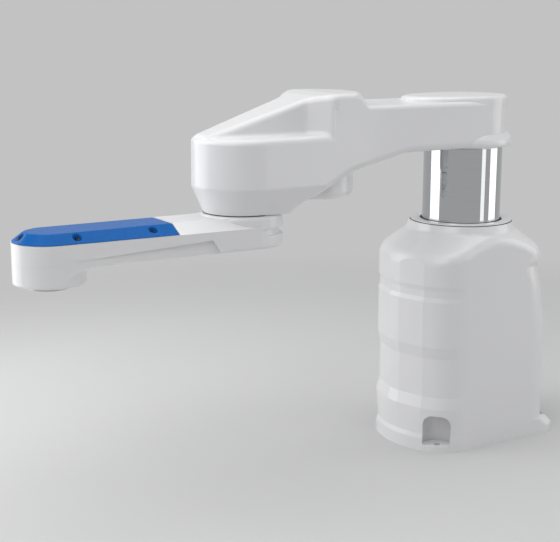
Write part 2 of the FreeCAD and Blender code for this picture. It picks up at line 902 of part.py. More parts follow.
def arm_lower_form(inset):
    return arm_plan_form(inset).common(arm_side_form(inset)).removeSplitter()


def arm_body_form(inset):
    """Form of the upper arm inside walls of the given inset, with its edges left sharp."""
    return fused([arm_lower_form(inset), arm_deck_form(inset), motor_housing_form(inset)])


def arm_outside():
    """Outer form of the upper arm, each of its three parts rounded and then blended."""
    lower = arm_lower_form(0)

    def on_ledge(box):
        return box.ZMin > ledge_z - 0.01 and box.XMax > 200

    def on_belly(box):
        below = elbow_seam_z + 3 < box.ZMin and box.ZMax < arm_underside_z + 1
        across = box.XLength < 0.1 and box.YLength > 60
        return below and not across and box.XMin > -arm_shoulder_radius / 2

    lower = lower.makeFillet(ledge_round, picked_edges(lower, on_ledge))
    lower = lower.makeFillet(belly_round, picked_edges(lower, on_belly))
    deck = arm_deck_form(0)
    deck = deck.makeFillet(deck_round, picked_edges(
        deck, lambda box: box.ZMin > arm_top_z - 0.01 and box.XMin < housing_front_x - 1))
    housing = motor_housing_form(0)
    low = arm_underside_z + 5

    def on_brow(box):
        upright_edge = box.XLength < 0.1 and box.YLength < 0.1
        across = box.XLength < 0.1 and box.YMin < -10 and box.YMax > 10
        return box.ZMin > low and not upright_edge and not across

    housing = housing.makeFillet(ledge_round, picked_edges(housing, on_brow))

    def on_back(box):
        level = abs(box.ZMin - arm_top_z) < 0.01 and abs(box.ZMax - arm_top_z) < 0.01
        return level and 150 < box.XMin and box.XMax < 230

    upper = fused([deck, housing])
    upper = upper.makeFillet(ledge_round, picked_edges(upper, on_back))
    over_belly = block(-far, elbow_x + far, -far, far, arm_underside_z + belly_round + 2,
                       plateau_z + 1)
    whole = fused([lower, upper.common(over_belly)])

    def on_root(box):
        level = abs(box.ZMin - ledge_z) < 0.01 and abs(box.ZMax - ledge_z) < 0.01
        return level and max(abs(box.YMin), abs(box.YMax)) < arm_hub_radius - 7.9

    return whole.makeFillet(root_round, picked_edges(whole, on_root))


def shoulder_flange():
    """Flared ring at the arm's underside, round the column's head."""
    low = arm_underside_z
    return turned([
        (0, low, 0),
        (shoulder_flange_radius - 2, low, 0),
        (shoulder_flange_radius, low + 2, 0),
        (shoulder_flange_radius, low + 4, 0),
        (shoulder_flange_radius - 1, low + 6.5, 0),
        (arm_shoulder_radius - 1, low + shoulder_flange_height + 6, 10),
        (arm_shoulder_radius - 1, low + 30, 0),
        (0, low + 30, 0),
    ])


def arm_boss():
    """Round boss under the arm that holds the lower end of the elbow drive."""
    return turned([
        (0, boss_low_z, 0),
        *eased(boss_radius, boss_low_z, 8.0),
        (boss_radius, boss_low_z + 44, 0),
        (0, boss_low_z + 44, 0),
    ], housing_x)


def arm_hollow():
    """Room inside the walls, less the seats that hold the drives."""
    room = arm_body_form(arm_wall)
    seats = [
        cylinder(arm_shoulder_radius, arm_underside_z, reducer_top_z + running_gap + shoulder_floor),
        cylinder(elbow_brake_radius + arm_wall, boss_low_z, elbow_deck_z, housing_x),
        cylinder(elbow_motor_radius + 6, ledge_z - arm_wall, plateau_z, housing_x),
        cylinder(elbow_reducer_radius + arm_wall, elbow_seam_z, elbow_deck_z, elbow_x),
        cylinder(arm_hub_radius, elbow_seam_z - 1, elbow_seam_z + hub_floor, elbow_x),
    ]
    for seat in seats:
        room = room.cut(seat)
    return room


def arm_bores():
    """Turned seats and bores for the motors, the brake and the reducers."""
    floor = reducer_top_z + running_gap
    deck = floor + shoulder_floor
    belt_high = ledge_z - arm_wall
    brake = elbow_brake_radius + seat_gap
    return [
        cylinder(column_radius - 1 + running_gap, arm_underside_z - 1, arm_underside_z + 4),
        cylinder(reducer_radius + running_gap, arm_underside_z, floor),
        cylinder(shoulder_shaft_radius + running_gap, floor - 1, deck + 1),
        cylinder(shoulder_motor_radius + 9, deck, arm_top_z + 1),
        cylinder(elbow_motor_radius + seat_gap, belt_high - 1, elbow_motor_top_z + 1, housing_x),
        cylinder(brake, boss_low_z + cover_plate, elbow_deck_z + 1, housing_x),
        cylinder(brake + 6, boss_low_z - 1, boss_low_z + cover_plate, housing_x),
        cylinder(elbow_reducer_radius + seat_gap, elbow_seam_z + hub_floor, elbow_deck_z + 1,
                 elbow_x),
        cylinder(output_hub_radius + running_gap, elbow_seam_z - 1, elbow_seam_z + 10, elbow_x),
    ]


def upper_arm_casting():
    body = arm_outside().fuse(shoulder_flange()).fuse(arm_boss()).removeSplitter()
    body = body.cut(arm_hollow())
    for bore in arm_bores():
        body = body.cut(bore)
    return body


def boss_cover():
    """Round service cover let into the bottom of the boss."""
    radius = elbow_brake_radius + 6
    plate = cylinder(radius, boss_low_z, boss_low_z + cover_plate - seat_gap, housing_x)
    for index in range(4):
        angle = math.radians(45 + 90 * index)
        hole_x = housing_x + (radius - 4) * math.cos(angle)
        hole_y = (radius - 4) * math.sin(angle)
        plate = plate.cut(cylinder(1.7, boss_low_z - 1, boss_low_z + 10, hole_x, hole_y))
    return plate


def elbow_motor():
    low = ledge_z - arm_wall
    body = cylinder(elbow_motor_radius, low, elbow_motor_top_z, housing_x)
    return body.cut(cylinder(6 + sliding_gap, low - 1, low + 12, housing_x))


def elbow_brake():
    low = boss_low_z + cover_plate
    body = cylinder(elbow_brake_radius, low, elbow_deck_z, housing_x)
    return body.cut(cylinder(6 + sliding_gap, low + 10, arm_belt_z, housing_x))


def elbow_motor_pulley():
    wheel = flanged_pulley(elbow_motor_pulley_radius, arm_belt_z, belt_width, housing_x, 6.0)
    shaft = cylinder(6.0, boss_low_z + cover_plate + 12, ledge_z - arm_wall + 10, housing_x)
    return fused([wheel, shaft])


def elbow_input_pulley():
    wheel = flanged_pulley(elbow_pulley_radius, arm_belt_z, belt_width, elbow_x, 7.0)
    shaft = cylinder(7.0, arm_belt_z - 22, arm_belt_z + 5, elbow_x)
    return fused([wheel, shaft])


def elbow_belt():
    return belt(housing_x, elbow_motor_pulley_radius, elbow_x, elbow_pulley_radius,
                arm_belt_z, belt_width)


def elbow_reducer():
    low = elbow_seam_z + hub_floor
    body = cylinder(elbow_reducer_radius, low, elbow_deck_z, elbow_x)
    body = body.cut(cylinder(elbow_reducer_radius - 8, low + 16, elbow_deck_z - 5, elbow_x))
    return body.cut(cylinder(7.0 + sliding_gap, low + 20, arm_belt_z, elbow_x))


# Forearm

def rim_outline(inset):
    """Outline of the forearm at its rim, its tip split where the ridge has its corners."""
    near_radius = forearm_ring_radius - inset
    tip = tip_radius - inset
    lean = (near_radius - tip) / forearm_length
    start = math.degrees(math.acos(lean))
    near = flat(elbow_x, 0) + on_circle(near_radius, start)
    saddle = flat(neck_end_x, side_width(neck_end_x, elbow_x, near_radius, wrist_x, tip))
    centre = flat(wrist_x, 0)
    edges = [Part.makeLine(near, saddle), Part.makeLine(saddle, centre + on_circle(tip, start))]
    angles = (start, 58.0, 20.0, -20.0, -58.0, -start)
    for first, last in zip(angles, angles[1:]):
        edges.append(Part.Arc(centre + on_circle(tip, first),
                              centre + on_circle(tip, (first + last) / 2),
                              centre + on_circle(tip, last)).toShape())
    edges.append(Part.makeLine(centre + on_circle(tip, -start), opposite(saddle)))
    edges.append(Part.makeLine(opposite(saddle), opposite(near)))
    edges.append(Part.Arc(opposite(near), flat(elbow_x - near_radius, 0), near).toShape())
    return Part.Wire(edges)


def ridge_outline(inset):
    """Outline of the ridge's top: round at the elbow, a drawn-in neck, an angular tip."""
    ring_radius = forearm_ring_radius - inset - 0.6
    neck = neck_half_width - inset
    bend = neck_radius + inset
    centre = flat(neck_end_x, neck + bend)
    towards = centre - flat(elbow_x, 0)
    towards.normalize()
    ring_point = flat(elbow_x, 0) + towards * ring_radius
    saddle = flat(neck_end_x, neck)
    middle = (ring_point - centre).normalize() + vector(0, -1, 0)
    crown = centre + middle.normalize() * bend
    half = ridge_half_width - inset
    end = wrist_x + ridge_end - inset
    corners = [flat(wrist_x + 6, half), flat(wrist_x + 20 - inset / 2, half * 0.68),
               flat(end, half * 0.3)]
    tip = corners + [opposite(corner) for corner in reversed(corners)]
    edges = [Part.Arc(ring_point, crown, saddle).toShape(), Part.makeLine(saddle, tip[0])]
    for first, last in zip(tip, tip[1:]):
        edges.append(Part.makeLine(first, last))
    edges.append(Part.makeLine(tip[-1], opposite(saddle)))
    edges.append(Part.Arc(opposite(saddle), opposite(crown), opposite(ring_point)).toShape())
    edges.append(Part.Arc(opposite(ring_point), flat(elbow_x - ring_radius, 0),
                          ring_point).toShape())
    return Part.Wire(edges)


def forearm_ridge(x_low, x_high, inset):
    """Ridge with bevelled flanks over the forearm, from one x to another."""
    low = forearm_rim_z
    top = forearm_top_z - inset
    wide = rim_outline(inset)
    narrow = ridge_outline(inset)
    wide.translate(vector(0, 0, low))
    narrow.translate(vector(0, 0, top))
    form = Part.makeLoft([wide, narrow], True, True)
    return form.common(block(x_low, x_high, -far, far, low, top))


def tip_hub_form():
    """Drum at the wrist that flares into the beam's underside."""
    high = forearm_under_z
    return turned([
        (0, tip_low_z, 0),
        *eased(tip_radius, tip_low_z, 2.5),
        (tip_radius, high, tip_flare),
        (tip_radius + 2 * tip_flare, high, 0),
        (tip_radius + 2 * tip_flare, high + 3, 0),
        (0, high + 3, 0),
    ], wrist_x)


def forearm_room():
    """Hollow under the cover, carried back into the ridge as far as the elbow hub."""
    low = forearm_under_z + forearm_wall
    near = forearm_ring_radius - recess_taper - forearm_wall
    room = capsule(elbow_x, near, wrist_x, tip_radius - 8, low, forearm_rim_z + 1)
    hub_end = elbow_x + forearm_ring_radius + forearm_wall
    behind = block(elbow_x - far, hub_end, -far, far, low - 1, forearm_rim_z + 2)
    neck = block(hub_end - 1, cover_rear_x, -far, far, forearm_rim_z - forearm_wall,
                 forearm_rim_z + 2)
    tunnel = forearm_ridge(hub_end, cover_rear_x + 1, forearm_wall + 1)
    room = room.cut(behind).cut(neck).fuse(tunnel)
    room = room.cut(cylinder(bearing_radius + 6, tip_low_z, forearm_rim_z - 5, wrist_x))
    for x, y in cover_screw_places():
        room = room.cut(cylinder(notch_radius + 0.5, low - 1, forearm_rim_z, x, y))
        if y:
            side = math.copysign(1, y)
            wall_y = side * (forearm_ring_radius - 2)
            room = room.cut(block(x - notch_radius, x + notch_radius, min(y, wall_y),
                                  max(y, wall_y), low - 1, forearm_rim_z))
    return room


def elbow_ring():
    return turned([
        (0, forearm_under_z + beam_round, 0),
        (forearm_ring_radius, forearm_under_z + beam_round, 0),
        *reversed(eased(forearm_ring_radius, elbow_seam_z - running_gap, -ring_round)),
        (0, elbow_seam_z - running_gap, 0),
    ], elbow_x)


def waist_groove():
    """Groove round the back of the elbow end, deepest behind and fading at the sides."""
    wide = forearm_ring_radius + 12
    fade_x = elbow_x + forearm_waist_depth
    groove = turned([
        (forearm_ring_radius, forearm_waist_low_z + 3, 0),
        (forearm_ring_radius, forearm_waist_high_z - 3, 0),
        (wide, forearm_waist_high_z + 2, 0),
        (wide, forearm_waist_low_z - 2, 0),
    ], fade_x)
    return groove.common(block(fade_x - far, fade_x, -far, far, 0, forearm_top_z))


def side_recess():
    """Shallow recess in both sides under a rising line, as the lower beam tapers."""
    bottom = tip_low_z - 1
    heel_low_x = recess_heel_x - recess_heel_lean
    wedge = cross_prism([
        (recess_tip_x, recess_tip_z, 0),
        (recess_heel_x, recess_heel_z, 4),
        (heel_low_x, forearm_under_z, 0),
        (heel_low_x, bottom, 0),
        (recess_tip_x, bottom, 0),
    ], forearm_ring_radius + 10)
    core = capsule(elbow_x, forearm_ring_radius - recess_taper, wrist_x, tip_radius,
                   bottom - 1, recess_heel_z + 1)
    return wedge.cut(core)


def forearm_casting():
    beam = capsule(elbow_x, forearm_ring_radius, wrist_x, tip_radius,
                   forearm_under_z, forearm_rim_z)
    beam = beam.makeFillet(beam_round, picked_edges(
        beam, lambda box: box.ZMax < forearm_under_z + 0.01))
    plan = capsule(elbow_x, forearm_ring_radius, wrist_x, tip_radius, tip_low_z, forearm_rim_z)
    hub = tip_hub_form().common(plan)
    ridge = forearm_ridge(elbow_x - far, cover_rear_x, 0)
    body = fused([beam, hub, elbow_ring(), ridge])
    body = body.cut(waist_groove()).cut(side_recess())
    body = body.cut(forearm_room())
    seat_z = forearm_under_z + cap_plate
    under_seat = cylinder(forearm_ring_radius - 8, forearm_under_z - 1, seat_z, elbow_x)
    under_room = cylinder(forearm_ring_radius - 12, seat_z - 1, output_hub_low_z - 6, elbow_x)
    body = body.cut(under_seat).cut(under_room)
    bearing_bore = cylinder(bearing_radius + seat_gap, tip_low_z + 5, forearm_rim_z, wrist_x)
    recess = cylinder(flange_radius + running_gap, tip_low_z - 1, tip_low_z + 5, wrist_x)
    hub_seat = cylinder(output_hub_radius + seat_gap, output_hub_low_z, elbow_seam_z + 1, elbow_x)
    body = body.cut(bearing_bore).cut(recess).cut(hub_seat)
    for x, y in cover_screw_places():
        body = body.cut(cylinder(cover_screw_radius + sliding_gap,
                                 notch_floor_z - cover_screw_length - 1, forearm_rim_z + 1, x, y))
    return body


def forearm_cap():
    """Round cap under the elbow end of the forearm."""
    return cylinder(forearm_ring_radius - 8 - seat_gap, forearm_under_z,
                    forearm_under_z + cap_plate - seat_gap, elbow_x)


def cover_screw_places():
    """Two screws along each side of the cover and one at its tip."""
    side = ridge_half_width + 6.0
    rear = cover_rear_x + 28.0
    front = wrist_x - 22.0
    tip = wrist_x + ridge_end + 5.5
    return [(rear, side), (rear, -side), (front, side), (front, -side), (tip, 0.0)]


def forearm_cover():
    """Thin cover over the front of the forearm, with a notch in its flank at each screw."""
    rear = cover_rear_x + seat_gap
    front = wrist_x + tip_radius + 1
    outer = forearm_ridge(rear, front, 0)
    cover = outer.cut(forearm_ridge(cover_rear_x + cover_wall, front, cover_wall))
    for x, y in cover_screw_places():
        boss = cylinder(notch_radius + cover_wall, forearm_rim_z, forearm_top_z, x, y)
        cover = cover.fuse(boss.common(outer))
    for x, y in cover_screw_places():
        cover = cover.cut(cylinder(notch_radius, notch_floor_z, forearm_top_z + 1, x, y))
        cover = cover.cut(cylinder(cover_screw_radius + seat_gap, forearm_rim_z - 1,
                                   notch_floor_z + 1, x, y))
    return cover.removeSplitter()


def forearm_cover_screws():
    """Cap screws with a hexagon socket, heads down in the cover's notches."""
    screws = []
    for x, y in cover_screw_places():
        head = cylinder(2 * cover_screw_radius, notch_floor_z, notch_floor_z + 2.4, x, y)
        shank = cylinder(cover_screw_radius, notch_floor_z - cover_screw_length, notch_floor_z,
                         x, y)
        corners = [flat(x, y) + on_circle(1.4, 60 * index) for index in range(6)]
        socket = prism([(corner.x, corner.y, 0) for corner in corners],
                       notch_floor_z + 1.0, notch_floor_z + 3)
        screws.append(fused([head, shank]).cut(socket))
    return Part.makeCompound(screws)


def elbow_output_hub():
    return cylinder(output_hub_radius, output_hub_low_z, elbow_seam_z + hub_floor - seat_gap,
                    elbow_x)


def wrist_motor():
    low = forearm_under_z + forearm_wall
    body = cylinder(wrist_motor_radius, low, wrist_belt_z - 6, wrist_motor_x)
    return body.cut(cylinder(3 + sliding_gap, low + 5, wrist_belt_z, wrist_motor_x))


def wrist_motor_pulley():
    wheel = flanged_pulley(wrist_motor_pulley_radius, wrist_belt_z, wrist_belt_width,
                           wrist_motor_x, 3.0)
    shaft = cylinder(3.0, forearm_under_z + 14, wrist_belt_z + 4, wrist_motor_x)
    return fused([wheel, shaft])


def wrist_belt():
    return belt(wrist_motor_x, wrist_motor_pulley_radius, wrist_x, wrist_pulley_radius,
                wrist_belt_z, wrist_belt_width)


def wrist_bearings():
    lows = (tip_low_z + 6, forearm_under_z + 8)
    return Part.makeCompound([ring(bearing_radius, tool_shaft_radius + sliding_gap,
                                   low, low + 8, wrist_x) for low in lows])


def wrist_pulley():
    return flanged_pulley(wrist_pulley_radius, wrist_belt_z, wrist_belt_width, wrist_x,
                          tool_shaft_radius + sliding_gap)


def tool_flange():
    """Tool shaft with its bolting flange: pilot bore and four threaded holes."""
    plate = cylinder(flange_radius, flange_low_z, flange_low_z + flange_thickness, wrist_x)
    shaft = cylinder(tool_shaft_radius, flange_low_z, wrist_belt_z + 4, wrist_x)
    body = plate.fuse(shaft).removeSplitter()
    body = body.cut(cylinder(flange_bore_radius, flange_low_z - 1, flange_low_z + 6, wrist_x))
    for index in range(4):
        angle = math.radians(45 + 90 * index)
        hole_x = wrist_x + flange_bolt_circle / 2 * math.cos(angle)
        hole_y = flange_bolt_circle / 2 * math.sin(angle)
        body = body.cut(cylinder(flange_bolt_radius, flange_low_z - 1,
                                 flange_low_z + flange_thickness + 1, hole_x, hole_y))
    return body


def write(name, shape):
    shape.exportStep("parts/" + name + ".step")


def main():
    os.makedirs("parts", exist_ok=True)
    write("base_housing", base_housing())
    write("bottom_plate", bottom_plate())
    write("rear_panel", rear_panel())
    write("rear_panel_screws", rear_panel_screws())
    write("rear_sockets", sockets(connector_places()[:2]))
    write("air_fittings", sockets(connector_places()[2:]))
    write("column_collar", collar())
    write("guide_bush", guide_bush())
    write("guide_post", guide_post())
    write("lift_rail", lift_rail())
    write("rail_carriage", rail_block())
    write("column_foot", column_foot())
    write("ball_nut", ball_nut())
    write("lift_column", lift_column())
    write("ball_screw", ball_screw())
    write("screw_bearing", screw_bearing())
    write("screw_pulley", screw_pulley())
    write("lift_motor", lift_motor())
    write("lift_motor_bracket", motor_bracket())
    write("lift_motor_pulley", lift_motor_pulley())
    write("lift_belt", lift_belt())
    write("shoulder_reducer", shoulder_reducer())
    write("shoulder_motor", shoulder_motor())
    write("shoulder_cap", shoulder_cap())
    write("upper_arm_casting", upper_arm_casting())
    write("boss_cover", boss_cover())
    write("elbow_motor", elbow_motor())
    write("elbow_brake", elbow_brake())
    write("elbow_motor_pulley", elbow_motor_pulley())
    write("elbow_belt", elbow_belt())
    write("elbow_input_pulley", elbow_input_pulley())
    write("elbow_reducer", elbow_reducer())
    write("elbow_output_hub", elbow_output_hub())
    write("forearm_casting", forearm_casting())
    write("forearm_cap", forearm_cap())
    write("forearm_cover", forearm_cover())
    write("forearm_cover_screws", forearm_cover_screws())
    write("wrist_motor", wrist_motor())
    write("wrist_motor_pulley", wrist_motor_pulley())
    write("wrist_belt", wrist_belt())
    write("wrist_bearings", wrist_bearings())
    write("wrist_pulley", wrist_pulley())
    write("tool_flange", tool_flange())


main()
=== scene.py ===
import math

import bpy
from mathutils import Matrix, Vector


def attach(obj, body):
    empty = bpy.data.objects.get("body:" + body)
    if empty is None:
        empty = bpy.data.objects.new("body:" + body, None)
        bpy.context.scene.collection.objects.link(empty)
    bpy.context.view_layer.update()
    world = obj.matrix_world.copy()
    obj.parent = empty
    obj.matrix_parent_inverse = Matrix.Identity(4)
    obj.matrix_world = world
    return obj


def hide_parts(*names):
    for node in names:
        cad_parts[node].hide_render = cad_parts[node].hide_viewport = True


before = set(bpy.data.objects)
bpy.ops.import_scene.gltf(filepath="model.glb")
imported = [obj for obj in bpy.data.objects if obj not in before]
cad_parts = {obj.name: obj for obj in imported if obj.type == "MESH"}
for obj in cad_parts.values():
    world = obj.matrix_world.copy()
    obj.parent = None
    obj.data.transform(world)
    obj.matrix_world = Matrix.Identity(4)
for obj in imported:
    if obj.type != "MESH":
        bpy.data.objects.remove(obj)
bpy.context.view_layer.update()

# The viewpoint: a long lens a little above the arms, looking down past the elbow
# towards the column, so that the whole robot stands in the frame.
view_right = Vector((-0.8533, 0.5215, 0.0)).normalized()
view_forward = Vector((-0.5102, -0.8349, -0.2065)).normalized()
view_up = view_right.cross(view_forward)
view_place = (1.0649, 1.2621, 0.5738)
view_roll = Matrix.Rotation(math.radians(0.179), 3, "Z")
camera_data = bpy.data.cameras.new("viewpoint")
camera_data.sensor_width = 36.0
camera_data.lens = 76.48
camera_data.clip_end = 60.0
camera = bpy.data.objects.new("viewpoint", camera_data)
bpy.context.scene.collection.objects.link(camera)
view_axes = Matrix((view_right, view_up, -view_forward)).transposed() @ view_roll
camera.matrix_world = Matrix.Translation(view_place) @ view_axes.to_4x4()
bpy.context.scene.camera = camera
bpy.context.scene.view_settings.view_transform = "Standard"


class Field:
    """One output of a shader node, so that shader maths reads as ordinary arithmetic."""

    def __init__(self, tree, socket):
        self.tree = tree
        self.socket = socket

    def node(self, kind, values=None, settings=None, output=0):
        """Adds a node: its settings first, then its socket values or links."""
        made = self.tree.nodes.new(kind)
        for name, value in (settings or {}).items():
            setattr(made, name, value)
        for name, value in (values or {}).items():
            target = made.inputs[name]
            if isinstance(value, Field):
                self.tree.links.new(value.socket, target)
            else:
                target.default_value = value
        return Field(self.tree, made.outputs[output])

    def maths(self, operation, first, second):
        return self.node("ShaderNodeMath", {0: first, 1: second}, {"operation": operation})

    def __add__(self, other):
        return self.maths("ADD", self, other)

    def __radd__(self, other):
        return self.maths("ADD", other, self)

    def __mul__(self, other):
        return self.maths("MULTIPLY", self, other)

    def __rmul__(self, other):
        return self.maths("MULTIPLY", other, self)

    def stretched(self, scale):
        """The same coordinates scaled by a separate factor along each axis."""
        return self.node("ShaderNodeMapping", {"Vector": self, "Scale": scale})

    def length(self):
        """How far from the origin these coordinates lie."""
        return self.node("ShaderNodeVectorMath", {0: self}, {"operation": "LENGTH"}, output=1)

    def noise(self, scale, detail=3.0, roughness=0.5):
        return self.node("ShaderNodeTexNoise",
                         {"Vector": self, "Scale": scale, "Detail": detail,
                          "Roughness": roughness})

    def between(self, low, high):
        """Runs from 0 below the low value to 1 above the high one."""
        return self.node("ShaderNodeMapRange",
                         {"Value": self, "From Min": low, "From Max": high})

    def tint(self, dark, light):
        """Mixes two colours by this value."""
        return self.node("ShaderNodeMix",
                         {"Factor": self, 6: (*dark, 1.0), 7: (*light, 1.0)},
                         {"data_type": "RGBA"}, output=2)

    def bump(self, strength, distance):
        return self.node("ShaderNodeBump",
                         {"Height": self, "Strength": strength, "Distance": distance})


def finish_of(name, **constants):
    """New material: its shader with constant sockets set, and its object coordinates."""
    material = bpy.data.materials.new(name)
    material.use_nodes = True
    tree = material.node_tree
    shader = tree.nodes["Principled BSDF"]
    for socket, value in constants.items():
        shader.inputs[socket.replace("_", " ")].default_value = value
    place = tree.nodes.new("ShaderNodeTexCoord").outputs["Object"]
    return material, shader, Field(tree, place)


def feed(shader, **fields):
    """Links fields to the shader's sockets."""
    for socket, field in fields.items():
        field.tree.links.new(field.socket, shader.inputs[socket.replace("_", " ")])


def dress(material, *nodes):
    """Gives a finish to parts of the frame."""
    for node in nodes:
        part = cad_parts[node]
        if not part.material_slots:
            part.data.materials.append(material)
        for slot in part.material_slots:
            slot.material = material


# Studio: a pale round floor whose rim sweeps up into the backdrop on every side, painted
# in one matt colour, so that no edge or horizon shows behind the robot.
floor_radius = 3.4
rim_radius = 1.6
wall_height = 3.0
bpy.ops.object.select_all(action="DESELECT")
bpy.ops.mesh.primitive_circle_add(vertices=96, radius=floor_radius, fill_type="NGON",
                                  location=(0.1, 0.0, 0.0))
studio = bpy.context.object
studio.name = "studio_floor"
bpy.ops.object.mode_set(mode="EDIT")
bpy.ops.mesh.select_mode(type="EDGE")
bpy.ops.mesh.select_all(action="DESELECT")
bpy.ops.mesh.select_non_manifold(extend=False, use_boundary=True)
rim_steps = 12
rim_turn = math.radians(90 / rim_steps)
reach = floor_radius
for step in range(rim_steps):
    turn = rim_turn * (step + 1)
    wider = floor_radius + rim_radius * math.sin(turn)
    higher = rim_radius * (math.cos(turn - rim_turn) - math.cos(turn))
    bpy.ops.mesh.extrude_edges_move(TRANSFORM_OT_translate={"value": (0, 0, higher)})
    bpy.ops.transform.resize(value=(wider / reach, wider / reach, 1))
    reach = wider
bpy.ops.mesh.extrude_edges_move(TRANSFORM_OT_translate={"value": (0, 0, wall_height)})
bpy.ops.mesh.select_all(action="SELECT")
bpy.ops.mesh.normals_make_consistent(inside=True)
bpy.ops.object.mode_set(mode="OBJECT")
bpy.ops.object.shade_smooth_by_angle(angle=math.radians(30))
bpy.ops.object.transform_apply(location=True, rotation=True, scale=True)
studio_paint, studio_shader, studio_place = finish_of("studio_paint", Roughness=0.75,
                                                      Specular_IOR_Level=0.2)
feed(studio_shader,
     Base_Color=studio_place.noise(0.5, 2.0).tint((0.58, 0.58, 0.58), (0.61, 0.61, 0.61)))

# Seen by the camera or in a reflection, the paint has one even tone away from the robot;
# close to the robot it is lit by the lamps and shows the robot's shadow.
lit_within = 0.75
even_beyond = 1.3
studio_tree = studio_paint.node_tree
light_path = studio_tree.nodes.new("ShaderNodeLightPath").outputs
seen = (Field(studio_tree, light_path["Is Camera Ray"])
        + Field(studio_tree, light_path["Is Glossy Ray"])
        + Field(studio_tree, light_path["Is Transmission Ray"])).between(0.0, 1.0)
glow = studio_place.node("ShaderNodeEmission",
                         {"Color": (0.54, 0.54, 0.54, 1.0), "Strength": 1.0})
away = studio_place.length().between(lit_within, even_beyond)
mixed = studio_place.node("ShaderNodeMixShader",
                          {0: seen * away, 1: Field(studio_tree, studio_shader.outputs[0]),
                           2: glow})
studio_tree.links.new(mixed.socket, studio_tree.nodes["Material Output"].inputs["Surface"])
studio.data.materials.append(studio_paint)

# Air: weak, even light from all sides, so that no shadow is black.
world = bpy.data.worlds.new("studio_air")
world.use_nodes = True
bpy.context.scene.world = world
air = world.node_tree.nodes["Background"]
air.inputs["Color"].default_value = (0.86, 0.87, 0.88, 1.0)
air.inputs["Strength"].default_value = 0.50


def soft_box(name, place, target, width, height, power):
    """Rectangular lamp facing a point, out of the camera's sight."""
    lamp_data = bpy.data.lights.new(name, "AREA")
    lamp_data.shape = "RECTANGLE"
    lamp_data.size = width
    lamp_data.size_y = height
    lamp_data.energy = power
    lamp = bpy.data.objects.new(name, lamp_data)
    bpy.context.scene.collection.objects.link(lamp)
    aim = (Vector(target) - Vector(place)).to_track_quat("-Z", "Y")
    lamp.matrix_world = Matrix.Translation(place) @ aim.to_matrix().to_4x4()
    lamp.visible_camera = False


# Lamps: a wide one overhead, two high ones beyond the tool's end, and three soft boxes
# that reach down to the floor, which the chrome column shows as white bands.
soft_box("overhead_lamp", (0.2, 0.1, 2.9), (0.1, 0.0, 0.2), 3.2, 3.2, 45.0)
soft_box("key_lamp", (1.9, -0.4, 1.55), (0.2, 0.0, 0.25), 1.1, 1.1, 9.5)
soft_box("fill_lamp", (1.9, 1.1, 1.55), (0.2, 0.0, 0.25), 1.1, 1.1, 9.0)
soft_box("left_lamp", (1.05, -0.74, 0.52), (0.0, 0.0, 0.25), 0.95, 1.1, 5.6)
soft_box("right_lamp", (-1.15, 0.61, 0.52), (0.0, 0.0, 0.25), 0.72, 1.1, 3.8)
soft_box("front_lamp", (-0.55, 1.25, 0.45), (0.0, 0.0, 0.25), 0.30, 0.9, 0.9)


# Base housing: one aluminium casting, painted glossy white, with round feet for the
# anchor bolts. The paint lies thick, so it is smooth with a faint ripple.
def white_paint(name, light, dark):
    material, shader, place = finish_of(name, Coat_Roughness=0.06)
    cloud = place.noise(6.0, 2.0)
    feed(shader,
         Base_Color=cloud.tint(dark, light),
         Roughness=place.noise(14.0, 3.0) * 0.08 + 0.27,
         Coat_Weight=place.noise(9.0, 2.0) * 0.1 + 0.35,
         Normal=place.noise(260.0, 2.0).bump(0.03, 0.0003))
    return material


housing_paint = white_paint("housing_paint", (0.80, 0.80, 0.81), (0.77, 0.77, 0.78))
dress(housing_paint, "base_housing")


# Bottom plate: machined aluminium plate screwed under the housing.
def machined(name, dark, light, rough, grain):
    """Bare metal with the fine marks that a cutter leaves."""
    material, shader, place = finish_of(name, Metallic=1.0)
    marks = place.stretched(grain).noise(60.0, 4.0, 0.6)
    feed(shader,
         Base_Color=marks.tint(dark, light),
         Roughness=marks * 0.14 + rough,
         Normal=marks.bump(0.08, 0.0003))
    return material


plate_metal = machined("plate_metal", (0.50, 0.51, 0.52), (0.62, 0.63, 0.64), 0.32, (1, 12, 1))
dress(plate_metal, "bottom_plate", "lift_motor_bracket", "guide_post", "column_foot")

# Rear panel: aluminium sheet with a satin finish, let into the back of the housing
# and held by four screws.
panel_metal = machined("panel_metal", (0.46, 0.47, 0.49), (0.56, 0.57, 0.59), 0.38, (1, 1, 14))
dress(panel_metal, "rear_panel")

# Sockets and air fittings in the panel: turned and nickel-plated.
plated_metal = machined("plated_metal", (0.50, 0.50, 0.49), (0.66, 0.65, 0.63), 0.20, (1, 1, 1))
dress(plated_metal, "rear_sockets", "air_fittings")


# Rear panel screws: small cap screws with a hexagon socket, turned from bar and
# nickel-plated, one in each corner of the panel.
def pick_faces(piece, test):
    """Selects the faces whose centre and normal pass a test; the piece is in edit mode."""
    bpy.ops.mesh.select_mode(type="FACE")
    bpy.ops.mesh.select_all(action="DESELECT")
    bpy.ops.object.mode_set(mode="OBJECT")
    for face in piece.data.polygons:
        face.select = test(face.center, face.normal)
    bpy.ops.object.mode_set(mode="EDIT")


def settle(piece, material, body):
    """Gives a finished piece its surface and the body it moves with."""
    piece.data.materials.append(material)
    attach(piece, body)


